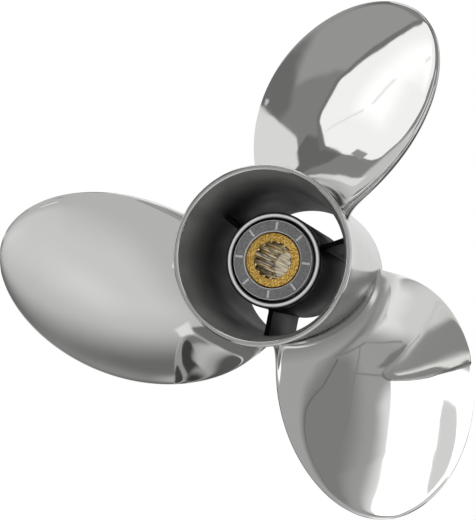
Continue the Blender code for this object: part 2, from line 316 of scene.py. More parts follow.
def section_rule(size, across, aft_side, span, standing, fillet):
    """A point of the blade's section, as (along, off), from where it is across and on which side."""
    chord = size["Root chord"] + size["Chord growth"] * span + size["Chord bend"] * span * span
    chord = chord * (1.0 - span).at_least(0.0).sqrt()
    share = (across + 1.0) * 0.5
    fade = (chord / size["Root chord"]).at_most(1.0)

    # The mean line: a parabola makes the hollow, and the cup rises near the trailing edge.
    hollow = size["Hollow"] * 4.0 * chord * share * (1.0 - share)
    cup = fade * size["Cup"] * share ** CUP_START_POWER * (1.0 - share ** CUP_END_POWER)
    hollow_slope = size["Hollow"] * -2.0 * chord * across
    cup_slope = fade * size["Cup"] * 0.5 * (
        share ** (CUP_START_POWER - 1) * CUP_START_POWER
        - share ** (CUP_START_POWER + CUP_END_POWER - 1) * (CUP_START_POWER + CUP_END_POWER))

    # The thickness: full in the middle of the chord, with rounded edges.
    full = size["Tip thickness"] + (size["Root thickness"] - size["Tip thickness"]) * (
        (1.0 - span).at_least(0.0) ** THICKNESS_POWER)
    edge = size["Leading edge"] + (size["Trailing edge"] - size["Leading edge"]) * share
    edge = edge.at_most(full)
    squared = across * across
    edge_round = (1.0 - squared ** (EDGE_POWER // 2)).at_least(TINY).sqrt()
    thick = (full - edge) * (1.0 - squared) + edge * edge_round
    thick_slope = (full - edge) * across * -2.0 - edge * (EDGE_POWER / 2) * (
        across * squared ** (EDGE_POWER // 2 - 1)) / edge_round

    # The root fillet moves each point out along the normal of the section.
    side = aft_side - (1.0 - AFT_SHARE)
    outward = aft_side * 2.0 - 1.0
    slope = side * thick_slope - hollow_slope - cup_slope
    normal_along = -slope * outward
    normal_off = chord * 0.5 * outward
    length = (normal_along * normal_along + normal_off * normal_off).sqrt()
    width = fillet * (1.0 - squared * squared * EDGE_FILLET_CUT)
    along = chord * across * 0.5 + standing * width * normal_along / length
    off = standing * (side * thick + width * normal_off / length) - hollow - cup
    return along, off


def helix_rule(size, span, along, off):
    """Put a point of a section on its cylinder, wrapped along the left-hand helix."""
    nominal = span * (TIP_RADIUS - SPAN_START_RADIUS) + SPAN_START_RADIUS
    pitch = (size["Pitch"] / (nominal * FULL_TURN)).math("ARCTANGENT")
    reach = size["Skew"] * span + size["Skew growth"] * span * span + along
    height = size["Mid height"] + size["Rake"] * span + reach * pitch.sin() + off * pitch.cos()
    seat = barrel_radius_field(height) - SPAN_START_RADIUS
    radius = nominal + seat * (1.0 - span).at_least(0.0) ** SEAT_FADE
    angle = (off * pitch.sin() - reach * pitch.cos()) / radius + size["Turn"]
    return radius * angle.cos(), radius * angle.sin(), height - CENTRE_OF_MASS_HEIGHT


def blade_rule(size, around, row):
    """The blade: a cap under the root, the root fillet, the span and a rounded tip."""
    capped = row.share(0.0, CAP_ROWS)
    filleted = row.share(CAP_ROWS, FILLET_ROWS)
    spanned = row.share(CAP_ROWS + FILLET_ROWS, SPAN_ROWS)
    tipped = row.share(CAP_ROWS + FILLET_ROWS + SPAN_ROWS, TIP_ROWS)

    span_length = TIP_RADIUS - SPAN_START_RADIUS
    turn = filleted * QUARTER_TURN
    rise = size["Root fillet"] * (1.0 - turn.cos()) - ROOT_SINK - (1.0 - capped) * CAP_DEPTH
    standing_fillet = size["Root fillet"] * FILLET_SHARE * (1.0 - turn.sin())
    first = size["Root fillet"] / span_length
    eased = (spanned * QUARTER_TURN).sin()
    rounded = (tipped * QUARTER_TURN).sin()
    span = rise / span_length + (LAST_SPAN - first) * eased + (1.0 - LAST_SPAN) * rounded
    standing = capped * (tipped * QUARTER_TURN).cos()

    column = (around * SECTION_COLUMNS).math("ROUND").math("MODULO", SECTION_COLUMNS)
    turned = column * (FULL_TURN / SECTION_COLUMNS)
    across = turned.cos().at_least(-EDGE_LIMIT).at_most(EDGE_LIMIT)
    aft_side = turned.math("LESS_THAN", math.pi)
    along, off = section_rule(size, across, aft_side, span, standing, standing_fillet)
    return helix_rule(size, span, along, off)


print("the blade has", len(BLADE_SIZES), "sizes")

# %% [markdown]
# ## Finishes: bare materials first
# A piece needs its material when its mesh is made, so the materials are made here with their plain
# numbers, and their procedural detail is wired in further down, once the shapes are there to judge it
# on. Numbers that are the same all over a surface stay on the shader's own sockets.

# %% Materials with their plain numbers
FINISHES = {
    "polished_steel": {"Base Color": (0.63, 0.628, 0.618, 1.0), "Metallic": 1.0, "Roughness": 0.04},
    "machined_steel": {"Base Color": (0.34, 0.34, 0.335, 1.0), "Metallic": 1.0, "Roughness": 0.24},
    "cast_steel": {"Base Color": (0.12, 0.12, 0.118, 1.0), "Metallic": 0.12, "Roughness": 0.50,
                   "Specular IOR Level": 0.12},
    "grey_moulding": {"Base Color": (0.20, 0.20, 0.205, 1.0), "Metallic": 0.0, "Roughness": 0.45},
    "black_rubber": {"Base Color": (0.012, 0.012, 0.012, 1.0), "Metallic": 0.0, "Roughness": 0.75},
    "brass": {"Base Color": (0.60, 0.37, 0.10, 1.0), "Metallic": 1.0, "Roughness": 0.30},
}


def plain_material(name):
    """A Principled material with the constant numbers of its finish."""
    material = bpy.data.materials.new(name)
    material.use_nodes = True
    shader = material.node_tree.nodes["Principled BSDF"]
    for socket, value in FINISHES[name].items():
        shader.inputs[socket].default_value = value
    return material


finish = {name: plain_material(name) for name in FINISHES}
print("finishes:", ", ".join(finish))

# %% [markdown]
# ## The three blades
# The foundry casts the blades in one with the barrel. Here each blade is its own piece, as in the
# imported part, and its fillet runs out just under the barrel's skin, so that no joint shows.

# %% Make the blades
BLADE_ANGLE = math.radians(76.5)

blade_rows = CAP_ROWS + FILLET_ROWS + SPAN_ROWS + TIP_ROWS + 1
blade_tree = grid_tree("blade_rule", BLADE_SIZES, SECTION_COLUMNS, blade_rows, blade_rule)
for i in range(BLADE_COUNT):
    name = f"propeller_blade_{i + 1}"
    values = dict(BLADE_SIZES, Turn=BLADE_ANGLE + FULL_TURN * i / BLADE_COUNT)
    mesh = mesh_from_tree(name, blade_tree, values, finish["polished_steel"])
    seat_piece(name, mesh, "polished_steel", f"blade_{i + 1}")

# %% [markdown]
# ## Turned shapes
# The barrel, the inner hub, the moulded ring and the sleeve are round about the shaft axis. The wall
# of each is drawn once, as a closed outline of (radius, height) points, and spun about the axis, much
# as a lathe would cut it. A list of zones says which finish each segment of the outline has.

# %% Outlines that are turned about the shaft axis
def turned_mesh(name, outline, steps, zones):
    """Spin a closed outline; zones gives the finish of the segment that ends at each point."""
    bm = bmesh.new()
    points = [bm.verts.new((r, 0.0, height - CENTRE_OF_MASS_HEIGHT)) for r, height in outline]
    rings = [points]
    for step in range(1, steps):
        turn = FULL_TURN * step / steps
        rings.append([bm.verts.new((r * math.cos(turn), r * math.sin(turn),
                                    height - CENTRE_OF_MASS_HEIGHT)) for r, height in outline])
    names = sorted(set(zones), key=zones.index)
    for near, far in zip(rings, rings[1:] + rings[:1]):
        for j in range(len(outline)):
            face = bm.faces.new((near[j - 1], near[j], far[j], far[j - 1]))
            face.material_index = names.index(zones[j])
    mesh = bpy.data.meshes.new(name)
    bm.to_mesh(mesh)
    bm.free()
    for zone in names:
        mesh.materials.append(finish[zone])
    smooth_outward(mesh)
    return mesh


def arc(centre_radius, centre_height, size, start, end, steps):
    """Points of a round edge, from a start angle to an end angle in degrees."""
    points = []
    for i in range(steps + 1):
        turn = math.radians(start + (end - start) * i / steps)
        points.append((centre_radius + size * math.cos(turn), centre_height + size * math.sin(turn)))
    return points


def between(start, end, steps):
    """Evenly spaced numbers from start to end."""
    return [start + (end - start) * i / steps for i in range(steps + 1)]


print("turned shapes need an outline and a finish for each of its segments")

# %% [markdown]
# ## Barrel
# The barrel is the thin outer tube, flared at its aft rim. Both edges of the rim are rounded, because
# a polished edge shows as a thin bright line, and the flat between them is machined. The outside is
# polished and the inside keeps its cast skin. The points of the wall lie closer together towards the
# rim, where the flare bends it most.

# %% Turn the barrel
RIM_ROUND = 0.0013
FRONT_ROUND = 0.0010
RIM_ROUND_STEPS = 8
FRONT_ROUND_STEPS = 4
BARREL_STEPS = 256
WALL_STEPS = 44


def barrel_radius(height):
    """Outer radius of the barrel at a height."""
    flare = RIM_FLARE * math.exp((height - BARREL_LENGTH) / RIM_FLARE_LENGTH)
    return BARREL_FRONT_RADIUS + BARREL_TAPER * height / BARREL_LENGTH + flare


def bore_radius(height):
    """Inner radius of the barrel at a height."""
    flare = BORE_FLARE * math.exp((height - BARREL_LENGTH) / BORE_FLARE_LENGTH)
    return BORE_FRONT_RADIUS + BORE_TAPER * height / BARREL_LENGTH + flare


lip_height = BARREL_LENGTH - RIM_ROUND
wall = [lip_height * (1.0 - (1.0 - share) ** 2) + FRONT_ROUND * (1.0 - share)
        for share in between(0.0, 1.0, WALL_STEPS)]
outside = [(barrel_radius(height), height) for height in wall]
inside = [(bore_radius(height), height) for height in reversed(wall)]
outer_lip = arc(barrel_radius(lip_height) - RIM_ROUND, lip_height, RIM_ROUND, 0, 90, RIM_ROUND_STEPS)[1:]
inner_lip = arc(bore_radius(lip_height) + RIM_ROUND, lip_height, RIM_ROUND, 90, 180, RIM_ROUND_STEPS)[:-1]
front = arc(BORE_FRONT_RADIUS + FRONT_ROUND, FRONT_ROUND, FRONT_ROUND, 180, 270, FRONT_ROUND_STEPS)[1:]
front += arc(BARREL_FRONT_RADIUS - FRONT_ROUND, FRONT_ROUND, FRONT_ROUND, 270, 360, FRONT_ROUND_STEPS)[:-1]
barrel_outline = outside + outer_lip + inner_lip + inside + front
barrel_zones = ["polished_steel"] * (len(outside) + len(outer_lip))
barrel_zones += ["machined_steel"] + ["polished_steel"] * (len(inner_lip) - 1)
barrel_zones += ["cast_steel"] * len(inside) + ["machined_steel"] * len(front)
barrel_mesh = turned_mesh("barrel_shell", barrel_outline, BARREL_STEPS, barrel_zones)
seat_piece("barrel_shell", barrel_mesh, "polished_steel", "barrel")

# %% [markdown]
# ## Inner hub
# The inner hub is a second tube, which holds the bush. The edges of its aft end are rounded and
# polished, with a narrow machined flat between them, and the rest of it keeps the dark cast skin.

# %% Turn the inner hub
HUB_FRONT_HEIGHT = 0.017
HUB_AFT_HEIGHT = 0.1240
HUB_FRONT_RADIUS = 0.0320
HUB_AFT_RADIUS = 0.0330
HUB_BORE_RADIUS = 0.0289
HUB_EDGE_ROUND = 0.0018
HUB_BORE_EDGE = 0.0010
HUB_BRIGHT_DEPTH = 0.004
HUB_SKIN_START = 0.004
HUB_SKIN_STEPS = 12
HUB_EDGE_STEPS = 10
HUB_BORE_EDGE_STEPS = 5
HUB_STEPS = 160


def hub_radius(height):
    """Outer radius of the inner hub at a height."""
    share = (height - HUB_FRONT_HEIGHT) / (HUB_AFT_HEIGHT - HUB_FRONT_HEIGHT)
    return HUB_FRONT_RADIUS + (HUB_AFT_RADIUS - HUB_FRONT_RADIUS) * share


bright_height = HUB_AFT_HEIGHT - HUB_BRIGHT_DEPTH
hub_skin = [(HUB_BORE_RADIUS, HUB_FRONT_HEIGHT),
            (HUB_FRONT_RADIUS - HUB_BORE_EDGE, HUB_FRONT_HEIGHT),
            (HUB_FRONT_RADIUS, HUB_FRONT_HEIGHT + HUB_BORE_EDGE)]
hub_skin += [(hub_radius(height), height)
             for height in between(HUB_FRONT_HEIGHT + HUB_SKIN_START, bright_height, HUB_SKIN_STEPS)]
hub_edge = arc(HUB_AFT_RADIUS - HUB_EDGE_ROUND, HUB_AFT_HEIGHT - HUB_EDGE_ROUND,
               HUB_EDGE_ROUND, 0, 90, HUB_EDGE_STEPS)
hub_bore_edge = arc(HUB_BORE_RADIUS + HUB_BORE_EDGE, HUB_AFT_HEIGHT - HUB_BORE_EDGE,
                    HUB_BORE_EDGE, 90, 180, HUB_BORE_EDGE_STEPS)
hub_zones = ["cast_steel"] * len(hub_skin) + ["polished_steel"] * len(hub_edge)
hub_zones += ["machined_steel"] + ["polished_steel"] * (len(hub_bore_edge) - 1)
hub_mesh = turned_mesh("hub_tube", hub_skin + hub_edge + hub_bore_edge, HUB_STEPS, hub_zones)
seat_piece("hub_tube", hub_mesh, "cast_steel", "inner_hub")

# %% [markdown]
# ## Ribs
# Three flat webs carry the inner hub in the barrel. Each is a thin plate with a round aft edge that
# swells into a fillet where it meets a wall, as a casting has to. The same bent grid makes them: the
# columns run round the plate's edge and the rows run from the inner hub out to the barrel.

# %% Make the ribs
RIB_COUNT = 3
RIB_ANGLE = math.radians(18.5)
RIB_SIZES = {
    "Turn": 0.0,
    "Half thickness": 0.0017,
    "Front height": HUB_FRONT_HEIGHT + HUB_EDGE_ROUND,
    "Aft height": 0.103,
    "Fillet": 0.0015,
}
RIB_COLUMNS = 40
RIB_ROWS = 40
RIB_SINK = 0.0004


def linear_wall(low_radius, high_radius, height):
    """Radius of a straight taper between the front rim and the ribs' aft height."""
    return height * ((high_radius - low_radius) / RIB_SIZES["Aft height"]) + low_radius


def fillet_share(distance, size):
    """Extra half thickness of a rib near a wall, a quarter round of the given size."""
    left = (size - distance).at_least(0.0)
    return size - (size * size - left * left).at_least(0.0).sqrt()


def rib_rule(size, around, row):
    """A plate on edge, with round edges and a fillet at each wall."""
    column = (around * RIB_COLUMNS).math("ROUND").math("MODULO", RIB_COLUMNS)
    turned = (column + 0.5) * (FULL_TURN / RIB_COLUMNS)
    upper = turned.math("LESS_THAN", math.pi)
    # The first and the last row close the plate's ends, and the others run from wall to wall.
    open_rows = row.share(0.0, 1.0) * (1.0 - row.share(RIB_ROWS - 2, 1.0))
    share = row.share(1.0, RIB_ROWS - 3)

    middle = (size["Front height"] + size["Aft height"]) * 0.5
    reach = (size["Aft height"] - size["Front height"]) * 0.5 - size["Half thickness"]
    edge = (upper * 2.0 - 1.0) * reach
    height = middle + edge + size["Half thickness"] * turned.sin()

    hub_wall = linear_wall(hub_radius(0.0), hub_radius(RIB_SIZES["Aft height"]), height)
    barrel_wall = linear_wall(bore_radius(0.0), bore_radius(RIB_SIZES["Aft height"]), height)
    gap = barrel_wall - hub_wall
    distance = gap * share
    radial = hub_wall - RIB_SINK + (gap + 2.0 * RIB_SINK) * share
    swell = fillet_share(distance, size["Fillet"]) + fillet_share(gap - distance, size["Fillet"])
    half = (size["Half thickness"] + swell) * turned.cos() * open_rows
    turn = size["Turn"]
    x = radial * turn.cos() - half * turn.sin()
    y = radial * turn.sin() + half * turn.cos()
    return x, y, height - CENTRE_OF_MASS_HEIGHT


rib_tree = grid_tree("rib_rule", RIB_SIZES, RIB_COLUMNS, RIB_ROWS, rib_rule)
for i in range(RIB_COUNT):
    name = f"hub_rib_{i + 1}"
    values = dict(RIB_SIZES, Turn=RIB_ANGLE + FULL_TURN * i / RIB_COUNT)
    mesh = mesh_from_tree(name, rib_tree, values, finish["cast_steel"])
    seat_piece(name, mesh, "cast_steel", f"rib_{i + 1}")

# %% [markdown]
# ## Shapes that repeat round the axis
# The moulded ring has eight short ridges and the sleeve has fifteen spline teeth. One ridge and one
# tooth are modelled at angle zero. A small tree then puts copies of it round the axis and joins them
# to the ring that carries them: the count and the first angle are its inputs.

# %% A tree that repeats one shape round the shaft axis
def ring_of(name):
    """A tree that joins copies of a shape, set round the shaft axis, to the mesh it is given."""
    tree = bpy.data.node_groups.new(name, "GeometryNodeTree")
    face = tree.interface
    face.new_socket("Geometry", in_out="OUTPUT", socket_type="NodeSocketGeometry")
    face.new_socket("Geometry", in_out="INPUT", socket_type="NodeSocketGeometry")
    face.new_socket("Count", in_out="INPUT", socket_type="NodeSocketInt")
    face.new_socket("First angle", in_out="INPUT", socket_type="NodeSocketFloat")
    face.new_socket("Shape", in_out="INPUT", socket_type="NodeSocketObject")
    face.new_socket("Finish", in_out="INPUT", socket_type="NodeSocketMaterial")
    inputs = tree.nodes.new("NodeGroupInput")
    points = add_node(tree, "GeometryNodeMeshLine", Count=inputs.outputs["Count"],
                      Offset=(0.0, 0.0, 0.0))
    index = Field(tree, tree.nodes.new("GeometryNodeInputIndex").outputs[0])
    count = Field(tree, inputs.outputs["Count"])
    turn = index * FULL_TURN / count + Field(tree, inputs.outputs["First angle"])
    spin = tree.nodes.new("ShaderNodeCombineXYZ")
    tree.links.new(turn.socket, spin.inputs["Z"])
    shape = add_node(tree, "GeometryNodeObjectInfo", Object=inputs.outputs["Shape"])
    copies = add_node(tree, "GeometryNodeInstanceOnPoints", Points=points.outputs[0],
                      Instance=shape.outputs["Geometry"], Rotation=spin.outputs[0])
    joined = tree.nodes.new("GeometryNodeJoinGeometry")
    tree.links.new(inputs.outputs["Geometry"], joined.inputs[0])
    tree.links.new(copies.outputs[0], joined.inputs[0])
    plain = add_node(tree, "GeometryNodeRealizeInstances", Geometry=joined.outputs[0])
    dressed = add_node(tree, "GeometryNodeSetMaterial", Geometry=plain.outputs[0],
                       Material=inputs.outputs["Finish"])
    tree.links.new(dressed.outputs[0], tree.nodes.new("NodeGroupOutput").inputs[0])
    return tree


def ring_with_copies(name, tree, ring, shape, count, first_angle, material):
    """Join copies of a shape to a ring and keep the result as a plain mesh."""
    carrier = bpy.data.objects.new(name + "_ring", ring)
    copied = bpy.data.objects.new(name + "_shape", shape)
    for thing in (carrier, copied):
        bpy.context.scene.collection.objects.link(thing)
    modifier = carrier.modifiers.new("ring of copies", "NODES")
    modifier.node_group = tree
    values = {"Count": count, "First angle": first_angle, "Shape": copied, "Finish": material}
    for item in tree.interface.items_tree:
        if item.item_type == "SOCKET" and item.in_out == "INPUT" and item.name in values:
            modifier[item.identifier] = values[item.name]
    view = bpy.context.evaluated_depsgraph_get()
    mesh = bpy.data.meshes.new_from_object(carrier.evaluated_get(view))
    carrier.modifiers.remove(modifier)
    for thing in (carrier, copied):
        bpy.data.objects.remove(thing)
    mesh.name = name
    smooth_outward(mesh)
    return mesh


round_tree = ring_of("ring_of_copies")
print("one tree serves ridges and teeth")

# %% [markdown]
# ## Bars with round edges
# A ridge and a spline tooth are both straight bars that taper to one side. The bar below is a box
# between eight corners whose edges are bevelled, so that each catches a thin highlight.

# %% A bar with bevelled edges
BOX_FACES = ((3, 2, 1, 0), (4, 5, 6, 7), (0, 1, 5, 4), (1, 2, 6, 5), (2, 3, 7, 6), (3, 0, 4, 7))
BEVEL_SEGMENTS = 3


def bar_mesh(name, corners, round_size):
    """A box from its eight corners, lower four first, with every edge rounded."""
    bm = bmesh.new()
    verts = [bm.verts.new(corner) for corner in corners]
    for face in BOX_FACES:
        bm.faces.new([verts[i] for i in face])
    bmesh.ops.bevel(bm, geom=bm.edges[:], offset=round_size, segments=BEVEL_SEGMENTS, profile=0.5,
                    affect="EDGES")
    bmesh.ops.recalc_face_normals(bm, faces=bm.faces)
    mesh = bpy.data.meshes.new(name)
    bm.to_mesh(mesh)
    bm.free()
    return mesh


def bar_corners(inner, outer, low, high, foot_half, top_half, on_height):
    """Corners of a tapered bar at angle zero: narrower at its top, or at its inner side for a tooth."""
    corners = []
    for height in (low, high):
        for radius, side in ((inner, -1), (outer, -1), (outer, 1), (inner, 1)):
            narrow = height == high if on_height else radius == inner
            half = top_half if narrow else foot_half
            corners.append((radius, side * half, height - CENTRE_OF_MASS_HEIGHT))
    return corners


print("a bar has", len(BOX_FACES), "sides before its edges are bevelled")

# %% [markdown]
# ## Moulded ring and rubber
# The grey ring is the hard moulded face of the bush. It stands in the inner hub with a narrow dark
# gap on both sides. Behind it lies the rubber that takes the shocks between blades and shaft. Both
# are turned shapes, and the tree above sets the eight ridges on the ring.

# %% Make the ring with its ridges, and the rubber
CAP_OUTER_RADIUS = 0.0272
CAP_INNER_RADIUS = 0.0193
CAP_AFT_HEIGHT = 0.1255
CAP_THICKNESS = 0.008
CAP_ROUND = 0.0005
CAP_ROUND_STEPS = 5
RIDGE_COUNT = 8
RIDGE_ANGLE = math.radians(37.5)
RIDGE_HEIGHT = 0.0008
RIDGE_FOOT = 0.0003
RIDGE_HALF_WIDTH = 0.00105
RIDGE_TOP_HALF_WIDTH = 0.00075
RIDGE_INNER_RADIUS = 0.0206
RIDGE_OUTER_RADIUS = 0.0262
RIDGE_ROUND = 0.0002
FIT_GAP = 0.0003
RUBBER_FRONT_HEIGHT = 0.030
RUBBER_OUTER_RADIUS = HUB_BORE_RADIUS - FIT_GAP
RUBBER_ROUND_STEPS = 4
SLEEVE_OUTER_RADIUS = 0.0185

cap_front = CAP_AFT_HEIGHT - CAP_THICKNESS
cap_outline = [(CAP_INNER_RADIUS, cap_front), (CAP_OUTER_RADIUS, cap_front)]
cap_outline += arc(CAP_OUTER_RADIUS - CAP_ROUND, CAP_AFT_HEIGHT - CAP_ROUND, CAP_ROUND, 0, 90,
                   CAP_ROUND_STEPS)
cap_outline += arc(CAP_INNER_RADIUS + CAP_ROUND, CAP_AFT_HEIGHT - CAP_ROUND, CAP_ROUND, 90, 180,
                   CAP_ROUND_STEPS)
cap_ring = turned_mesh("cap_ring", cap_outline, HUB_STEPS, ["grey_moulding"] * len(cap_outline))
ridge_corners = bar_corners(
    RIDGE_INNER_RADIUS, RIDGE_OUTER_RADIUS, CAP_AFT_HEIGHT - RIDGE_FOOT, CAP_AFT_HEIGHT + RIDGE_HEIGHT,
    RIDGE_HALF_WIDTH, RIDGE_TOP_HALF_WIDTH, on_height=True)
ridge = bar_mesh("ridge", ridge_corners, RIDGE_ROUND)
cap_mesh = ring_with_copies("bush_face", round_tree, cap_ring, ridge, RIDGE_COUNT, RIDGE_ANGLE,
                            finish["grey_moulding"])
seat_piece("bush_face", cap_mesh, "grey_moulding", "bush_cap")

rubber_inner = SLEEVE_OUTER_RADIUS + FIT_GAP
rubber_aft = cap_front - FIT_GAP
rubber_outline = [(rubber_inner, RUBBER_FRONT_HEIGHT),
                  (RUBBER_OUTER_RADIUS - CAP_ROUND, RUBBER_FRONT_HEIGHT),
                  (RUBBER_OUTER_RADIUS, RUBBER_FRONT_HEIGHT + CAP_ROUND)]
rubber_outline += arc(RUBBER_OUTER_RADIUS - CAP_ROUND, rubber_aft - CAP_ROUND, CAP_ROUND, 0, 90,
                      RUBBER_ROUND_STEPS)
rubber_outline += [(rubber_inner, rubber_aft)]
rubber_mesh = turned_mesh("bush_rubber", rubber_outline, HUB_STEPS, ["black_rubber"] * len(rubber_outline))
seat_piece("bush_rubber", rubber_mesh, "black_rubber", "rubber_bush")

# %% [markdown]
# ## Splined sleeve
# The brass sleeve slides on the propeller shaft. Its fifteen teeth are broached: a long cutter is
# pulled through, so the teeth are straight bars on the wall of the bore, and the grooves between them
# run out before the plain bore. That bore shows as a smooth band beyond the teeth.

# %% Make the sleeve with its spline teeth
SLEEVE_FRONT_HEIGHT = 0.008
SLEEVE_AFT_HEIGHT = 0.1250
SPLINE_LENGTH = 0.054
TOOTH_COUNT = 15
TOOTH_TIP_RADIUS = 0.0116
TOOTH_ROOT_RADIUS = 0.0127
TOOTH_FOOT_RADIUS = 0.0131
PLAIN_BORE_RADIUS = 0.0114
TOOTH_TIP_HALF = 0.00072
TOOTH_FOOT_HALF = 0.00155
TOOTH_FRONT_SINK = 0.0002
TOOTH_AFT_SINK = 0.0003
TOOTH_ROUND = 0.00015
SLEEVE_ROUND = 0.0005
SLEEVE_ROUND_STEPS = 5
AFT_CHAMFER = 0.0004
FRONT_CHAMFER = 0.0006
GROOVE_START = 0.004
GROOVE_RUN_OUT = 0.007
STEP_WIDTH = 0.0008
PLAIN_START = 0.004
BORE_ROWS = 8

spline_end = SLEEVE_AFT_HEIGHT - SPLINE_LENGTH
grooved = between(SLEEVE_AFT_HEIGHT - GROOVE_START, spline_end + GROOVE_RUN_OUT, BORE_ROWS)
plain = between(spline_end - PLAIN_START, SLEEVE_FRONT_HEIGHT + FRONT_CHAMFER, BORE_ROWS)
sleeve_outline = arc(SLEEVE_OUTER_RADIUS - SLEEVE_ROUND, SLEEVE_AFT_HEIGHT - SLEEVE_ROUND, SLEEVE_ROUND,
                     0, 90, SLEEVE_ROUND_STEPS)
sleeve_outline += [(TOOTH_ROOT_RADIUS + AFT_CHAMFER, SLEEVE_AFT_HEIGHT),
                   (TOOTH_ROOT_RADIUS, SLEEVE_AFT_HEIGHT - AFT_CHAMFER)]
sleeve_outline += [(TOOTH_ROOT_RADIUS, height) for height in grooved]
sleeve_outline += [(PLAIN_BORE_RADIUS, spline_end - STEP_WIDTH)]
sleeve_outline += [(PLAIN_BORE_RADIUS, height) for height in plain]
sleeve_outline += [(PLAIN_BORE_RADIUS + FRONT_CHAMFER, SLEEVE_FRONT_HEIGHT),
                   (SLEEVE_OUTER_RADIUS, SLEEVE_FRONT_HEIGHT)]
sleeve_ring = turned_mesh("sleeve_ring", sleeve_outline, HUB_STEPS, ["brass"] * len(sleeve_outline))
tooth_corners = bar_corners(
    TOOTH_TIP_RADIUS, TOOTH_FOOT_RADIUS, spline_end - TOOTH_FRONT_SINK, SLEEVE_AFT_HEIGHT - TOOTH_AFT_SINK,
    TOOTH_FOOT_HALF, TOOTH_TIP_HALF, on_height=False)
tooth = bar_mesh("tooth", tooth_corners, TOOTH_ROUND)
sleeve_mesh = ring_with_copies("splined_sleeve", round_tree, sleeve_ring, tooth, TOOTH_COUNT, 0.0,
                               finish["brass"])
seat_piece("splined_sleeve", sleeve_mesh, "brass", "spline_sleeve")

# %% [markdown]
# ## Surface detail
# Bright metal looks real when its faults are right. A polishing wheel held by hand leaves long,
# shallow waves. A sand mould leaves grain, a lathe leaves fine rings and a broach leaves straight
# streaks. Some colour is painted light and shade instead: shade deep in the cast passages, a highlight
# on the hub's machined flat and highlights on the moulded ring. Each effect is a node group that turns
# a place on the piece into plain numbers. The finishes then feed these to colour, roughness and a small
# relief. The places are Object coordinates, so the marks stay on the metal when the camera moves.

# %% Helpers for effects
def noise(tree, place, scale, detail, stretch=(1.0, 1.0, 1.0)):
    """Noise from 0 to 1 at a place, with its scale in cells per metre and a stretch along each axis."""
    scaled = tree.nodes.new("ShaderNodeVectorMath")
    scaled.operation = "MULTIPLY"
    tree.links.new(place, scaled.inputs[0])
    scaled.inputs[1].default_value = [scale * amount for amount in stretch]
    texture = add_node(tree, "ShaderNodeTexNoise", Vector=scaled.outputs[0], Scale=1.0, Detail=detail)
    return Field(tree, texture.outputs[0])


def effect(name, outputs, rule):
    """A shader group that turns a place on the object into named numbers."""
    tree = bpy.data.node_groups.new(name, "ShaderNodeTree")
    tree.interface.new_socket("Place", in_out="INPUT", socket_type="NodeSocketVector")
    for output in outputs:
        tree.interface.new_socket(output, in_out="OUTPUT", socket_type="NodeSocketFloat")
    place = tree.nodes.new("NodeGroupInput").outputs["Place"]
    parts = tree.nodes.new("ShaderNodeSeparateXYZ")
    tree.links.new(place, parts.inputs[0])
    x, y, z = (Field(tree, parts.outputs[axis]) for axis in range(3))
    radius = (x * x + y * y).sqrt()
    end = tree.nodes.new("NodeGroupOutput")
    for output, value in zip(outputs, rule(tree, place, radius, z)):
        tree.links.new(value.socket, end.inputs[output])
    return tree


print("an effect reads a place, its radius and its height")

# %% [markdown]
# ## Marks on the steel
# Three effects serve the steel. The polish is duller in the corner where a blade meets the barrel,
# because the wheel doesn't reach into it, and there and on the barrel's outside its colour is painted
# darker as shade. Painted shade on the cast skin is a sum of two fades, one down the passages and one
# towards the hub. The lathe's rings are a sine of the radius, upset by a little noise, and a mask of
# the radius paints the machined flat as a highlight at the hub and as shade at the barrel. Heights are
# measured from the centre of mass here, because that is where Object coordinates start.

# %% Effects for the steel
LONG_WAVE_HEIGHT = 0.00011
SHORT_WAVE_HEIGHT = 0.000008
DULL_AND_SHADED_ROOT_RADIUS = 0.061
DULL_AND_SHADED_ROOT_FADE = 0.010
BRIGHT_LIP_START = BARREL_LENGTH - CENTRE_OF_MASS_HEIGHT - 0.0035
BRIGHT_LIP_FADE = 0.002
# painted shade of the cast skin fades in over these sizes
SHADE_DEPTH_FADE = 0.065
SHADE_RADIUS = 0.042
SHADE_RADIUS_FADE = 0.012
LATHE_FEED = 0.00045
LATHE_UPSET = 3.0
# the machined flat is painted as a highlight inside this radius and as shade outside it
HIGHLIGHT_TO_SHADE_RADIUS = 0.040
HIGHLIGHT_TO_SHADE_FADE = 0.005


def hand_polish(tree, place, radius, z):
    """Long waves that a polishing wheel leaves, a faint haze, scratches, and the duller root, whose colour is
    also painted darker as shade.
    """
    long_waves = noise(tree, place, scale=34.0, detail=1.0) * LONG_WAVE_HEIGHT
    short_waves = noise(tree, place, scale=110.0, detail=1.0) * SHORT_WAVE_HEIGHT
    haze = noise(tree, place, scale=60.0, detail=3.0).share(start=0.35, length=0.4)
    scratched = noise(tree, place, scale=900.0, detail=1.0, stretch=(1.0, 0.06, 0.06))
    lip = z.share(BRIGHT_LIP_START, BRIGHT_LIP_FADE)
    # painted shade: the barrel's outside and the blade roots, below the lip, get a darker colour as well as a
    # duller polish
    root = (1.0 - radius.share(DULL_AND_SHADED_ROOT_RADIUS, DULL_AND_SHADED_ROOT_FADE)) * (1.0 - lip)
    return long_waves + short_waves, haze, scratched.share(start=0.62, length=0.2), root


def casting_skin(tree, place, radius, z):
    """The fine grain of a mould's sand, broad stains of heat, and painted shade deep in the exhaust passages
    and near the hub.
    """
    grain = noise(tree, place, scale=1400.0, detail=3.0)
    stain = noise(tree, place, scale=45.0, detail=4.0, stretch=(1.0, 1.0, 0.5))
    # painted shade: darker down the passages and towards the hub
    deep = 1.0 - z.share(0.0, SHADE_DEPTH_FADE)
    near_hub = 1.0 - radius.share(SHADE_RADIUS, SHADE_RADIUS_FADE)
    return grain, stain.share(start=0.3, length=0.4), (deep + near_hub).at_most(1.0)


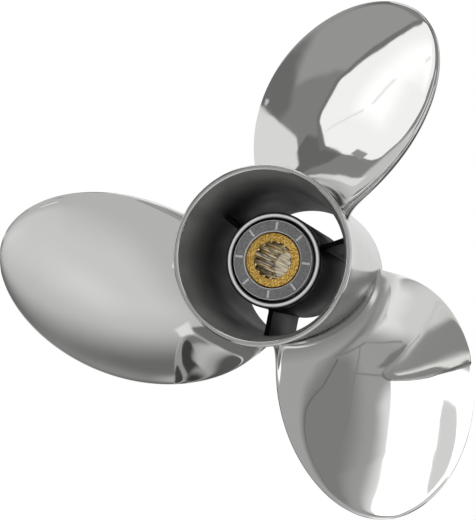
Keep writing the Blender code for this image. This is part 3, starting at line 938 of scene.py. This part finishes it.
def turning_marks(tree, place, radius, z):
    """Fine rings of a lathe tool, speckle where it tore the metal, and a mask beyond the hub that shifts the
    machined flat from painted highlight to painted shade.
    """
    upset = noise(tree, place, scale=300.0, detail=2.0) * LATHE_UPSET
    rings = (radius * (FULL_TURN / LATHE_FEED) + upset).sin() * 0.5 + 0.5
    speckle = noise(tree, place, scale=1150.0, detail=2.0).share(start=0.40, length=0.22)
    # the last mask moves the machined flat from painted highlight to painted shade
    return rings, speckle, radius.share(HIGHLIGHT_TO_SHADE_RADIUS, HIGHLIGHT_TO_SHADE_FADE)


hand_polish_group = effect("hand polish", ("Waves", "Haze", "Scratches", "Root"), hand_polish)
casting_skin_group = effect("casting skin", ("Grain", "Stain", "Painted shade"), casting_skin)
turning_marks_group = effect("turning marks", ("Rings", "Speckle", "Highlight to shade"), turning_marks)
print("three effects for the steel")

# %% [markdown]
# ## Marks on the bush and in the bore
# The moulded ring is grey with a fine pale speckle, and painted pale as a highlight where it stands
# out: at the tops of its ridges and at both of its edges. The broach leaves streaks along the bore.
# They are noise that is stretched along the shaft, and they fade in the plain bore, which the broach
# doesn't cut.

# %% Effects for the bush and the bore
# the moulding's edges and ridge tops are painted pale as highlights within these sizes
EDGE_HIGHLIGHT_WIDTH = 0.0007
INNER_HIGHLIGHT_WIDTH = 0.0004
PROUD_HEIGHT = CAP_AFT_HEIGHT - CENTRE_OF_MASS_HEIGHT + 0.00025
HIGHLIGHT_FADE = 0.0003
SPLINE_END_PLACE = SLEEVE_AFT_HEIGHT - SPLINE_LENGTH - CENTRE_OF_MASS_HEIGHT
SPLINE_FADE = 0.004
BORE_EDGE_FADE = 0.0003
PLAIN_BORE_STREAKS = 0.25


def moulded_grain(tree, place, radius, z):
    """The fine speckle of a filled moulding, and painted highlights on its edges and on whatever stands
    proud.
    """
    grain = noise(tree, place, scale=1200.0, detail=2.0)
    # painted highlight: ridge tops and both edges of the ring
    proud = z.share(PROUD_HEIGHT, HIGHLIGHT_FADE)
    outer_edge = radius.share(CAP_OUTER_RADIUS - EDGE_HIGHLIGHT_WIDTH, HIGHLIGHT_FADE)
    inner_edge = 1.0 - radius.share(CAP_INNER_RADIUS + INNER_HIGHLIGHT_WIDTH, HIGHLIGHT_FADE)
    return grain, (proud + outer_edge + inner_edge).at_most(1.0)


def broaching(tree, place, radius, z):
    """Streaks along the bore, left by the broach that cut the splines."""
    streaked = noise(tree, place, scale=1000.0, detail=2.0, stretch=(1.0, 1.0, 0.03)) - 0.5
    strength = z.share(SPLINE_END_PLACE, SPLINE_FADE) * (1.0 - PLAIN_BORE_STREAKS) + PLAIN_BORE_STREAKS
    return streaked * strength + 0.5, 1.0 - radius.share(TOOTH_ROOT_RADIUS, BORE_EDGE_FADE)


moulded_grain_group = effect("moulded grain", ("Grain", "Painted highlight"), moulded_grain)
broaching_group = effect("broaching", ("Streaks", "In bore"), broaching)
print("two effects for the bush and the bore")

# %% [markdown]
# ## From marks to finishes
# Each mark now feeds its finish. Colours are mixes of two ends, and a mix can be an end of the next
# one. Roughness starts from the smoothest value of the finish, and each mark adds its share. Relief
# goes through a Bump node, which tilts the shading without moving the surface.

# %% Helpers that wire a finish
def use_effect(material, effect_group):
    """Add an effect to a material, fed with Object coordinates, and return its outputs as fields."""
    tree = material.node_tree
    group = tree.nodes.new("ShaderNodeGroup")
    group.node_tree = effect_group
    place = tree.nodes.new("ShaderNodeTexCoord").outputs["Object"]
    tree.links.new(place, group.inputs["Place"])
    return {socket.name: Field(tree, socket) for socket in group.outputs}


def mix_colours(material, share, *ends):
    """Feed Base Color with a mix of two ends, each a colour or an earlier mix, and return the mix."""
    tree = material.node_tree
    mix = tree.nodes.new("ShaderNodeMix")
    mix.data_type = "RGBA"
    tree.links.new(share.socket, mix.inputs["Factor"])
    for end, socket in zip(ends, [socket for socket in mix.inputs if socket.type == "RGBA"]):
        if isinstance(end, bpy.types.NodeSocket):
            tree.links.new(end, socket)
        else:
            socket.default_value = (*end, 1.0)
    mixed = [socket for socket in mix.outputs if socket.type == "RGBA"][0]
    tree.links.new(mixed, tree.nodes["Principled BSDF"].inputs["Base Color"])
    return mixed


def vary_roughness(material, marks, smoothest, **shares):
    """Feed Roughness with the smoothest value of the finish and the share that each mark adds."""
    value = smoothest
    for mark, share in shares.items():
        value = marks[mark] * share + value
    tree = material.node_tree
    tree.links.new(value.socket, tree.nodes["Principled BSDF"].inputs["Roughness"])


def relief(material, height):
    """Feed the shader's normal from a height in metres."""
    tree = material.node_tree
    bump = add_node(tree, "ShaderNodeBump", Height=height, Distance=1.0)
    tree.links.new(bump.outputs[0], tree.nodes["Principled BSDF"].inputs["Normal"])


print("colour, roughness and relief can be wired")

# %% [markdown]
# ## Steel: polished, cast and machined
# Polished steel hardly varies in colour, except where it is painted darker as shade on the barrel and
# the blade roots: its long waves and its faint haze make the reflections look real. The cast skin is
# nearly matt, so its detail is in its colour, stained in the open and painted near black as shade down
# the passages and towards the hub. The machined flat is painted bright as a highlight at the hub and
# darker as shade at the barrel's rim.

# %% Wire the steel
BRIGHT_STEEL = (0.63, 0.628, 0.618)
# the second steel colour is painted shade for the barrel's outside and the blade roots
PAINTED_SHADE_STEEL = (0.43, 0.428, 0.42)
UNSHADED_SKIN = ((0.15, 0.15, 0.147), (0.30, 0.30, 0.294))
# the second skin colours are painted shade, near black deep in the passages and by the hub
PAINTED_SHADE_SKIN = ((0.003, 0.003, 0.003), (0.02, 0.02, 0.0195))
# painted highlight on the hub's flat and painted shade on the barrel's flats, for one machined steel
MACHINED_HUB_HIGHLIGHT = (0.86, 0.855, 0.84)
MACHINED_BARREL_SHADE = (0.42, 0.42, 0.415)
STAIN_SHARE = 0.7
SAND_HEIGHT = 0.00006
RING_HEIGHT = 0.000004

polished = finish["polished_steel"]
polish = use_effect(polished, hand_polish_group)
# the root mask paints the barrel and the blade roots darker as shade, and makes them rougher
mix_colours(polished, polish["Root"], BRIGHT_STEEL, PAINTED_SHADE_STEEL)
vary_roughness(polished, polish, smoothest=0.025, Haze=0.03, Scratches=0.03, Root=0.12)
relief(polished, polish["Waves"])

cast = finish["cast_steel"]
skin = use_effect(cast, casting_skin_group)
patchy = skin["Stain"] * STAIN_SHARE + skin["Grain"] * (1.0 - STAIN_SHARE)
unshaded_skin = mix_colours(cast, patchy, *UNSHADED_SKIN)
# painted shade: the shade mask darkens the skin down the passages and towards the hub
shaded_skin = mix_colours(cast, patchy, *PAINTED_SHADE_SKIN)
mix_colours(cast, skin["Painted shade"], unshaded_skin, shaded_skin)
vary_roughness(cast, skin, smoothest=0.45, Stain=0.15)
relief(cast, skin["Grain"] * SAND_HEIGHT)

machined = finish["machined_steel"]
marks = use_effect(machined, turning_marks_group)
# painted light: the mask makes the hub's flat bright and the barrel's flats darker
mix_colours(machined, marks["Highlight to shade"], MACHINED_HUB_HIGHLIGHT, MACHINED_BARREL_SHADE)
vary_roughness(machined, marks, smoothest=0.20, Speckle=0.12)
relief(machined, marks["Rings"] * RING_HEIGHT)
print("steel wired: polished, cast, machined")

# %% [markdown]
# ## Bush and brass
# The ring's speckle and its painted highlights share one mix from grey to nearly white. Rubber is plain
# black, so it only gets relief and an uneven gloss. The brass has two looks on one piece: a torn,
# speckled face and a streaked bore, whose real broach streaks run from painted shade to painted
# highlight. The mask of the bore picks between them, for the colour and for the relief.

# %% Wire the bush and the brass
MOULDING_GREY = (0.22, 0.22, 0.225)
# pale end: real speckle and painted highlights
MOULDING_PALE_AND_HIGHLIGHT = (0.95, 0.95, 0.95)
SPECKLE_SHARE = 0.25
BRASS_FACE = ((0.39, 0.19, 0.025), (0.92, 0.64, 0.19))
# bore colours: real broach streaks, with painted shade at the near black end and a painted highlight at the
# near white end
BRASS_BORE_SHADE_AND_HIGHLIGHT = ((0.05, 0.028, 0.008), (1.0, 0.82, 0.44))
MOULDING_HEIGHT = 0.00004
RUBBER_HEIGHT = 0.00008
BRASS_HEIGHT = 0.00002

moulding = finish["grey_moulding"]
moulded = use_effect(moulding, moulded_grain_group)
# painted highlight: ridge tops and both edges of the ring are mixed towards pale, with the real speckle
pale = moulded["Painted highlight"] + moulded["Grain"].share(start=0.35, length=0.3) * SPECKLE_SHARE
mix_colours(moulding, pale.at_most(1.0), MOULDING_GREY, MOULDING_PALE_AND_HIGHLIGHT)
relief(moulding, moulded["Grain"] * MOULDING_HEIGHT)

rubber = finish["black_rubber"]
soft = use_effect(rubber, moulded_grain_group)
vary_roughness(rubber, soft, smoothest=0.6, Grain=0.3)
relief(rubber, soft["Grain"] * RUBBER_HEIGHT)

brass = finish["brass"]
cut = use_effect(brass, turning_marks_group)
bore = use_effect(brass, broaching_group)
face = mix_colours(brass, cut["Speckle"], *BRASS_FACE)
# painted shade and painted highlight: the streaks run from near black to near white brass
wall = mix_colours(brass, bore["Streaks"].share(start=0.45, length=0.10), *BRASS_BORE_SHADE_AND_HIGHLIGHT)
mix_colours(brass, bore["In bore"], face, wall)
cuts = cut["Speckle"] * (1.0 - bore["In bore"]) + bore["Streaks"] * bore["In bore"]
relief(brass, cuts * BRASS_HEIGHT)
print("bush and brass wired")

# %% [markdown]
# ## Camera
# The camera was fitted to the photo by the outlines of the propeller. It looks down 75 degrees, from
# 22 degrees to one side, through a long lens, which draws near and far parts at nearly one scale.

# %% Camera
CAMERA_PLACE = Vector((0.27327, -0.12228, 1.22254))
CAMERA_TARGET = Vector((-0.035455, 0.005300, 0.0))
LENS = 124.616
SENSOR_WIDTH = 36.0

lens = bpy.data.cameras.new("camera")
lens.lens = LENS
lens.sensor_width = SENSOR_WIDTH
camera = bpy.data.objects.new("camera", lens)
bpy.context.scene.collection.objects.link(camera)
forward = (CAMERA_TARGET - CAMERA_PLACE).normalized()
right = forward.cross(Vector((0.0, 1.0, 0.0))).normalized()
up = right.cross(forward)
turn = Matrix((right, up, -forward)).transposed()
camera.matrix_world = Matrix.Translation(CAMERA_PLACE) @ turn.to_4x4()
bpy.context.scene.camera = camera
bpy.context.scene.view_settings.view_transform = "Standard"
print("camera", round(CAMERA_PLACE.length, 2), "m from the propeller, lens", round(LENS), "mm")

# %% [markdown]
# ## Room
# A polished propeller is a mirror, so what shows in it is the room. Here the room is painted on the
# sky as patches with soft, straight edges, each placed by azimuth and elevation: two softboxes, the
# pale floor, panels with thin seams and a darker corner. Their places come from following the view
# from the camera to the metal and on into the room. A studio would use light boxes and cards instead.

# %% Patches of sky
def direction(azimuth, elevation):
    """Unit vector towards an azimuth (0 is +X, 90 is +Y) and an elevation, in degrees."""
    a = math.radians(azimuth)
    e = math.radians(elevation)
    return Vector((math.cos(a) * math.cos(e), math.sin(a) * math.cos(e), math.sin(e)))


def patch(tree, ray, corners, softness):
    """1 inside a patch of sky between corner directions, fading to 0 at its edges."""
    points = [direction(*corner) for corner in corners]
    middle = sum(points, Vector()).normalized()
    inside = None
    for start, end in zip(points, points[1:] + points[:1]):
        normal = start.cross(end).normalized()
        if normal.dot(middle) < 0.0:
            normal = -normal
        side = tree.nodes.new("ShaderNodeVectorMath")
        side.operation = "DOT_PRODUCT"
        tree.links.new(ray, side.inputs[0])
        side.inputs[1].default_value = normal
        edge = tree.nodes.new("ShaderNodeMapRange")
        edge.interpolation_type = "SMOOTHSTEP"
        edge.inputs["From Min"].default_value = -0.5 * softness
        edge.inputs["From Max"].default_value = 0.5 * softness
        tree.links.new(side.outputs["Value"], edge.inputs["Value"])
        share = Field(tree, edge.outputs[0])
        inside = share if inside is None else inside * share
    return inside


def all_round(elevation):
    """Corners of the patch that covers the sky from an elevation up to the zenith, or down to the nadir."""
    return [(azimuth, elevation) for azimuth in (0, 90, 180, 270)]


def strip(start, end, half_width):
    """Corners of a narrow patch along a line of the sky, for a seam between two panels."""
    a = direction(*start)
    b = direction(*end)
    side = a.cross(b).normalized() * math.radians(half_width)
    corners = []
    for point in (a + side, b + side, b - side, a - side):
        point.normalize()
        corners.append((math.degrees(math.atan2(point.y, point.x)), math.degrees(math.asin(point.z))))
    return corners


print("azimuth 90, elevation 45 points to", [round(part, 2) for part in direction(90, 45)])

# %% [markdown]
# ## Painting the room
# Each row of the table is one patch, and a later patch covers the earlier ones. The rows follow the
# blades in which the patches show. Cycles has room for about 52 such patches in one sky, and with
# more of them it turns black.

# %% Paint the sky
BASE_BRIGHTNESS = 0.12
PATCHES = [
    # name, corners (azimuth, elevation), softness, brightness
    ("overhead", all_round(56), 0.10, 0.72),
    ("below the horizon", all_round(-9), 0.10, 0.08),
    ("floor seen from above", all_round(-61), 0.10, 0.95),
    # the left room, seen in the left blade
    ("room left", [(-124, -26), (-126, 52), (-10, 49), (-10, -8)], 0.06, 0.70),
    ("left light", [(-91, 20), (-52, 18), (-48, 48), (-91, 48)], 0.35, 0.89),
    ("left light middle", [(-72, 37), (-59, 36), (-57, 44), (-72, 44)], 0.20, 1.00),
    ("left streak", strip((-91, 6.5), (-84, 10.5), 0.8), 0.02, 1.3),
    ("left room low", [(-78, 1), (-50, 1), (-52, -6), (-70, -14), (-78, -14)], 0.04, 0.40),
    ("dark oval", [(-92, -4), (-80, -4), (-71, -14), (-73, -20), (-82, -27), (-94, -30), (-110, -30),
                   (-110, -18), (-101, -9)], 0.06, 0.11),
    ("light diagonal", strip((-84, -27.5), (-33, 9), 2.2), 0.08, 1.05),
    ("dark corner", [(-36, 4), (-10, 4), (-6, 44), (-12, 52), (-36, 55)], 0.34, 0.22),
    ("left low dark", [(-48, 10), (-14, 10), (-14, 20), (-48, 24)], 0.03, 0.22),
    ("light sliver", [(-14, 20), (-2, 20), (-2, 43.5), (-14, 41)], 0.05, 0.60),
    ("small lamp", [(-52, 22), (-43, 24.5), (-42, 29), (-47, 28.5)], 0.02, 1.1),
    # the front and right floor and room, seen in the lower blade
    ("floor right", [(-12, 0), (112, 0), (96, -56), (0, -56)], 0.10, 0.58),
    ("light floor front", [(-30, 10), (56, 10), (48, -14), (30, -34), (-20, -36)], 0.25, 1.75),
    ("light beyond the leaf", [(91, -1), (77, -18), (66, -34), (90, -60), (120, -30), (120, -1)], 0.12, 1.35),
    ("dark below left", [(-33, 3), (-25, 3), (-26, -16), (-60, -42), (-82, -38), (-78, -29)], 0.04, 0.20),
    ("room front", [(-16, 14), (-16, 0), (0, -21), (14, -28), (26, -24), (38, -11), (38, 14)], 0.05, 0.54),
    ("room front right", [(31, 14), (31, -12.5), (60, -11.5), (60, 14)], 0.05, 0.54),
    ("room front high", [(-8, 13), (40, 15), (42, 50), (-6, 50)], 0.06, 0.90),
    ("room right", [(47, -1), (116, -1), (116, 31), (46, 38)], 0.05, 0.49),
    ("dark lens", [(56, 0), (40, 14), (40, 37), (64, 37), (66, 4)], 0.16, 0.31),
    ("glow beside softbox", [(73.5, 21), (84, 17), (84, 40), (72.5, 40)], 0.10, 1.08),
    ("spot right", [(69, -10), (104, -10), (112, 8), (92, 11.5)], 0.16, 1.15),
    ("floor edge right", [(60, 0.5), (90, 0.5), (88, -3), (60, -3)], 0.03, 0.59),
    ("grey under right softbox", [(92, 4), (118, 4), (118, 24), (96, 20)], 0.16, 0.95),
    ("leaf tip", [(75, 12.6), (82, 11.5), (91, 12.4), (92, 17), (84, 17)], 0.02, 0.28),
    ("seam 1", strip((55, 2.4), (74, 2.3), 0.35), 0.01, 0.30),
    ("seam 2", strip((74, 2.3), (90, 11.4), 0.30), 0.01, 0.36),
    ("seam 3", strip((71, 2), (64, 13), 0.30), 0.01, 0.32),
    ("seam 4", strip((64, 13), (60, 28), 0.30), 0.01, 0.30),
    ("seam 5", strip((58, 8), (79, 17), 0.30), 0.01, 0.32),
    ("seam 6", strip((58.5, 3.5), (50, 13), 0.35), 0.01, 0.20),
    ("seam 7", strip((50, 13), (42.5, 17), 0.35), 0.01, 0.20),
    ("right softbox", [(79.3, 18), (76, 28), (76, 34), (116, 30), (114, 23.6)], 0.012, 2.2),
    ("softbox streak", [(99.5, 26), (94.5, 31), (94, 33), (101, 32), (106.5, 29.5), (105.5, 26.6)],
     0.012, 0.98),
    # the rear room, seen in the upper blade
    ("room behind", [(146, -30), (146, 30), (213, 34), (213, -10)], 0.05, 0.46),
    ("shade behind", [(178, -6), (178, 18.4), (206, 22), (216, 22), (216, -6)], 0.04, 0.32),
    ("dark lens behind", [(197, 16), (214, 16), (214, 28.5), (205, 28.5), (199, 22.5)], 0.06, 0.22),
    ("left light low", [(213, 23), (203.6, 17.6), (189, 5.5), (183, -7), (196, -12), (213, -10)],
     0.015, 1.06),
    ("dark floor behind", [(140, -5), (184, -4), (182, -17), (160, -30), (140, -30)], 0.03, 0.33),
    ("dark floor behind, right", [(163, -6.5), (184, 4), (187, 0), (181, -11.5), (168, -12)], 0.03, 0.20),
    ("light floor behind", [(128, 0), (149.5, -5), (150, -16), (147, -27), (128, -30)], 0.04, 0.80),
    ("light strip behind", [(148, -15.5), (162, -16.5), (161, -20), (148, -20)], 0.02, 1.08),
    ("left frame", [(150, 24.5), (150, -6.9), (165, -7.4), (174.5, -5), (179, 2), (182.6, 8.5),
                    (182.8, 17.4), (178.4, 23.3), (175, 24.5)], 0.012, 0.25),
    ("left softbox", [(150.5, 24), (150.5, -6.6), (164, -7.1), (173, -3.7), (177.3, 2), (180.2, 6),
                      (181.3, 9), (181.3, 17), (176.5, 22.6)], 0.012, 1.38),
    ("softbox middle", [(158, 4), (171, 8), (173, 22), (169, 24), (161, 10)], 0.10, 1.62),
    ("softbox notch", [(155.5, -4.9), (160.2, -4.4), (161, -6.5), (156, -8)], 0.008, 0.42),
    ("softbox fold low", strip((176, 2), (168, 8), 0.35), 0.01, 1.15),
    ("softbox fold high", strip((167, 10), (167.5, 16), 0.35), 0.01, 1.25),
]

world = bpy.data.worlds.new("studio")
world.use_nodes = True
tree = world.node_tree
ray = tree.nodes.new("ShaderNodeTexCoord").outputs["Generated"]
level = None
for name, corners, softness, brightness in PATCHES:
    mask = patch(tree, ray, corners, softness)
    below = BASE_BRIGHTNESS if level is None else level
    level = (1.0 - mask) * below + mask * brightness
tree.links.new(level.socket, tree.nodes["Background"].inputs["Color"])
bpy.context.scene.world = world
print("sky painted with", len(PATCHES), "patches")

# %% [markdown]
# ## Floor
# The floor is a wide disc at the height of the front rim. It glows evenly, so it stays plain and pale
# with no shadow. It is hidden from reflections, because there the patches of the sky stand for it.

# %% Lay the floor
FLOOR_RADIUS = 6.0
FLOOR_SIDES = 64

bm = bmesh.new()
bmesh.ops.create_circle(bm, cap_ends=True, radius=FLOOR_RADIUS, segments=FLOOR_SIDES)
floor_mesh = bpy.data.meshes.new("floor")
bm.to_mesh(floor_mesh)
bm.free()
floor = bpy.data.objects.new("floor", floor_mesh)
bpy.context.scene.collection.objects.link(floor)
floor.location.z = -CENTRE_OF_MASS_HEIGHT
floor.visible_glossy = False
floor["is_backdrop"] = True
paper = bpy.data.materials.new("pale_floor")
paper.use_nodes = True
nodes = paper.node_tree.nodes
nodes.remove(nodes["Principled BSDF"])
glow = nodes.new("ShaderNodeEmission")
paper.node_tree.links.new(glow.outputs[0], nodes["Material Output"].inputs[0])
floor_mesh.materials.append(paper)
print("floor", round(1000 * CENTRE_OF_MASS_HEIGHT), "mm below the origin")

# %% [markdown]
# The fine pieces are meant to stay in the box of the imported solids. Both boxes are measured, and
# the largest step between their sides is printed.

# %% Compare both boxes
low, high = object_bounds()
steps = [abs(a - b) for a, b in zip((*low, *high), (*packed_low, *packed_high))]
print("the boxes differ by", round(1000 * max(steps), 1), "mm at most")
